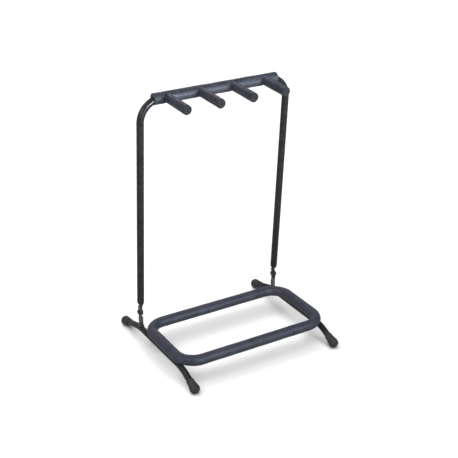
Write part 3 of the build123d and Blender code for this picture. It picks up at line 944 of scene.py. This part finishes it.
def hinge_bolts():
    """Button-head bolt with a hexagon socket inboard and its thread end outboard."""
    angles = circle_angles(72)
    socket = hexagon(BOLT_SOCKET_W, angles)
    crown_r, crown_t = 2.9, 2.5
    rows = [(BOLT_HEAD_X + 1.5, 0.8), (BOLT_HEAD_X + 1.5, socket * 0.92), (BOLT_HEAD_X + 1.35, socket)]
    rows += [(BOLT_HEAD_X + 0.12, socket), (BOLT_HEAD_X, socket + 0.12), (BOLT_HEAD_X, crown_r)]
    for turn in np.linspace(0.1, 1, 12) * math.pi / 2:
        r = crown_r + (BOLT_HEAD_R - crown_r) * math.sin(turn)
        rows.append((BOLT_HEAD_X + crown_t * (1 - math.cos(turn)), r))
    rows += [(BOLT_SEAT_X - 0.12, BOLT_HEAD_R), (BOLT_SEAT_X, BOLT_HEAD_R - 0.12)]
    rows += [(BOLT_SEAT_X, BOLT_SHANK_R + 0.12), (BOLT_SEAT_X + 0.1, BOLT_SHANK_R)]
    rows.append((BOLT_THREAD_X, BOLT_SHANK_R))
    for x in np.arange(BOLT_THREAD_X + 0.05, BOLT_END_X - 0.32, 0.05):
        thread = ((x / BOLT_PITCH - angles / (2 * math.pi)) % 1.0) - 0.5
        rows.append((x, BOLT_SHANK_R - 0.02 - 0.42 * (1 - np.abs(thread) * 2)))
    rows += [(BOLT_END_X - 0.28, 2.65), (BOLT_END_X - 0.02, 2.30), (BOLT_END_X, 2.18), (BOLT_END_X, 1.0)]
    for name, side in SIDES.items():
        mesh = shell(x_rings(side, rows, angles))
        make_piece(f"hinge_bolt_zinc_{name}", "base", HARDWARE, mesh,
                   [f"hinge_bolt_{name}"], sharp=38)


def hinge_nuts():
    """Thin hexagon nut with chamfered corners."""
    angles = circle_angles(96)
    chamfer = ((0.0, 4.75), (0.18, 4.95), (0.4, 5.35), (0.62, 5.78), (1.4, 9))
    cones = [(NUT_NEAR_X + inset, r) for inset, r in chamfer]
    cones += [(NUT_FAR_X - inset, r) for inset, r in chamfer[::-1]]
    rows = [(x, np.minimum(hexagon(NUT_FLATS, angles), r)) for x, r in cones]
    rows += [(NUT_FAR_X, 3.55), (NUT_FAR_X - 0.45, 3.05), (NUT_NEAR_X + 0.45, 3.05), (NUT_NEAR_X, 3.55)]
    for name, side in SIDES.items():
        mesh = shell(x_rings(side, rows, angles), wrap=True)
        make_piece(f"hinge_nut_zinc_{name}", "base", HARDWARE, mesh,
                   [f"hinge_nut_{name}"], sharp=30)


# ------------------------------------------------------------------ all pieces


def finish_cad_nodes():
    """CAD nodes that stay as they are get their material here."""
    looks = {
        "peg_end_plug": PLASTIC, "hinge_spacer": PLASTIC, "nut_washer": HARDWARE,
        "base_loop_tube": COAT, "loop_welds": COAT, "peg_rod": COAT,
    }
    for name, node in frame["nodes"].items():
        for start, look in looks.items():
            if name.startswith(start):
                for place in node.material_slots:
                    place.material = look


finish_cad_nodes()
neck_tube()
lugs()
foot_tubes()
hinge_posts()
hinge_bolts()
hinge_nuts()
foot_caps()
loop_foam()
bar_foam()
for peg in range(PEG_COUNT):
    peg_foam(peg)


# ------------------------------------------------------------------ stage, lights and camera

# Metres and degrees. Azimuth 0 is in front of the rack, and 90 is to its right.
CAMERA_AZIMUTH, CAMERA_ELEVATION, CAMERA_DISTANCE = -30.88, 25.15, 2.5454
CAMERA_TARGET = Vector((-0.0189, -0.0378, 0.3287))
CAMERA_LENS, CAMERA_SENSOR = 81.53, 36.0  # millimetres
FLOOR_REACH = 40.0
WALL_LIGHT, CEILING_LIGHT = 0.42, 0.05
WALL_TOP, CEILING_EDGE = 0.15, 0.62  # rise of the view direction where the one fades to the other


def direction(azimuth, elevation):
    """Unit vector from the object towards something at this azimuth and elevation."""
    a, e = math.radians(azimuth), math.radians(elevation)
    return Vector((math.sin(a) * math.cos(e), -math.cos(a) * math.cos(e), math.sin(e)))


def make_camera():
    """The camera, which looks at the rack from the front left and above."""
    data = bpy.data.cameras.new("camera")
    data.lens, data.sensor_width, data.clip_end = CAMERA_LENS, CAMERA_SENSOR, 100.0
    camera = bpy.data.objects.new("camera", data)
    bpy.context.scene.collection.objects.link(camera)
    back = direction(CAMERA_AZIMUTH, CAMERA_ELEVATION)
    camera.location = CAMERA_TARGET + back * CAMERA_DISTANCE
    camera.rotation_euler = back.to_track_quat("Z", "Y").to_euler()
    bpy.context.scene.camera = camera


def make_floor():
    """A pale floor. Reflections look through it at the room's walls."""
    corners = [(x * FLOOR_REACH, y * FLOOR_REACH, 0) for x, y in ((-1, -1), (1, -1), (1, 1), (-1, 1))]
    data = bpy.data.meshes.new("floor")
    data.from_pydata(corners, [], [(0, 1, 2, 3)])
    floor = bpy.data.objects.new("floor", data)
    floor.visible_glossy = False
    bpy.context.scene.collection.objects.link(floor)
    net = Net("pale_floor")
    net.feed(net.shader, {"Base Color": rgb(0.9, 0.9, 0.9), "Roughness": 0.9, "Specular IOR Level": 0.1})
    data.materials.append(net.material)
    return floor


def softbox(name, azimuth, elevation, distance, size, power, tint,
            shaded=(), spread=180, aim=(0.0, 0.0, 0.3)):
    """A rectangular lamp, with flags that keep its light off the floor and the shaded pieces."""
    data = bpy.data.lights.new(name, "AREA")
    data.shape, data.size, data.size_y = "RECTANGLE", size[0], size[1]
    data.energy, data.color, data.spread = power, tint, math.radians(spread)
    lamp = bpy.data.objects.new(name, data)
    bpy.context.scene.collection.objects.link(lamp)
    back = direction(azimuth, elevation)
    lamp.location = Vector(aim) + back * distance
    lamp.rotation_euler = back.to_track_quat("Z", "Y").to_euler()
    flags = bpy.data.collections.new(f"{name}_flags")
    for piece in [floor, *shaded]:
        flags.objects.link(piece)
    for flag in flags.collection_objects:
        flag.light_linking.link_state = "EXCLUDE"
    lamp.light_linking.receiver_collection = flags


def overhead(azimuth, elevation, strength, spread):
    """The broad light from above that throws the soft shadows."""
    data = bpy.data.lights.new("overhead", "SUN")
    data.energy, data.angle = strength, math.radians(spread)
    lamp = bpy.data.objects.new("overhead", data)
    bpy.context.scene.collection.objects.link(lamp)
    lamp.rotation_euler = direction(azimuth, elevation).to_track_quat("Z", "Y").to_euler()
    lamp.visible_glossy = False


def make_world():
    """White to the camera. To everything else a studio: pale walls low down and a dim ceiling."""
    world = bpy.data.worlds.new("studio")
    bpy.context.scene.world = world
    world.use_nodes = True
    tree = world.node_tree
    tree.nodes.clear()
    add, link = tree.nodes.new, tree.links.new
    place, parts, fade = add("ShaderNodeTexCoord"), add("ShaderNodeSeparateXYZ"), add("ShaderNodeMapRange")
    link(place.outputs["Generated"], parts.inputs[0])
    link(parts.outputs["Z"], fade.inputs["Value"])
    fade.interpolation_type = "SMOOTHSTEP"
    fade.inputs["From Min"].default_value, fade.inputs["From Max"].default_value = WALL_TOP, CEILING_EDGE
    fade.inputs["To Min"].default_value, fade.inputs["To Max"].default_value = WALL_LIGHT, CEILING_LIGHT
    room, seen = add("ShaderNodeBackground"), add("ShaderNodeBackground")
    room.inputs["Color"].default_value = rgb(0.97, 0.98, 1.0)
    link(fade.outputs[0], room.inputs["Strength"])
    seen.inputs["Color"].default_value, seen.inputs["Strength"].default_value = rgb(1, 1, 1), 1.0
    rays, blend, out = add("ShaderNodeLightPath"), add("ShaderNodeMixShader"), add("ShaderNodeOutputWorld")
    link(rays.outputs["Is Camera Ray"], blend.inputs[0])
    link(room.outputs[0], blend.inputs[1])
    link(seen.outputs[0], blend.inputs[2])
    link(blend.outputs[0], out.inputs["Surface"])


make_camera()
floor = make_floor()
make_world()
pegs = [bpy.data.objects[f"peg_foam_sleeve_{index + 1}"] for index in range(PEG_COUNT)]
foams = pegs + [bpy.data.objects[name] for name in ("loop_foam_cover", "neck_bar_foam_sleeve")]
bar_middle = (0.0, 0.0, 0.64)
overhead(-115, 77, 3.95, 88)
softbox("strip_softbox", 6, 2, 1.66, (0.5, 0.3), 5.5, (0.90, 0.95, 1.0), pegs, 56, bar_middle)
softbox("front_softbox", 20, 28, 2.0, (1.0, 0.8), 10, (0.94, 0.97, 1.0))
softbox("rear_softbox", 160, 38, 2.2, (0.7, 0.4), 6, (1.0, 0.95, 1.0))
softbox("left_softbox", -80, 30, 2.0, (0.8, 0.6), 9, (1.0, 0.88, 0.95))
softbox("glint_softbox", -120, 56, 2.4, (0.8, 0.5), 7, (1.0, 0.97, 1.0), foams)
bpy.context.scene.view_settings.view_transform = "Standard"
